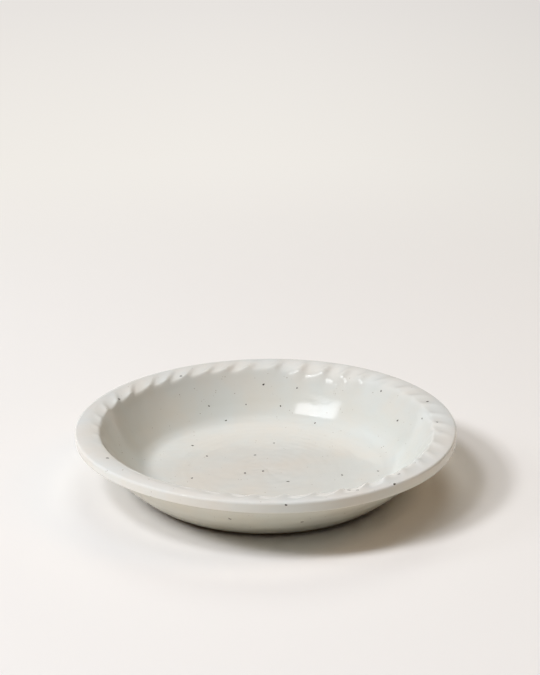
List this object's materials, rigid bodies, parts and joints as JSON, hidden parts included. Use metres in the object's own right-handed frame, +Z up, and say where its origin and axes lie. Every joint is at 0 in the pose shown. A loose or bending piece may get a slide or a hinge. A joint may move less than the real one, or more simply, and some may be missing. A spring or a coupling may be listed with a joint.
{
  "type": "pie dish",
  "caption": "Round shallow stoneware pie dish with sloping walls, an overhanging rim with slanting finger crimps, a turned foot ring and pale glaze inside and out.",
  "frame": {"origin": "centre of the foot ring, on the surface that the dish stands on", "axes": "+Z up along the axis the dish was thrown on; +X and +Y are level, with no preferred direction round the dish"},
  "size_m": [0.28, 0.28, 0.0468],
  "materials": {
    "bare_stoneware": "fired stoneware, matt where it is wiped bare at the foot",
    "speckled_glaze": "glossy warm off-white glaze with small dark iron specks"
  },
  "bodies": {
    "root": {"stoneware_body": "bare_stoneware", "liner_glaze": "speckled_glaze", "outer_glaze": "speckled_glaze"}
  },
  "joints": []
}
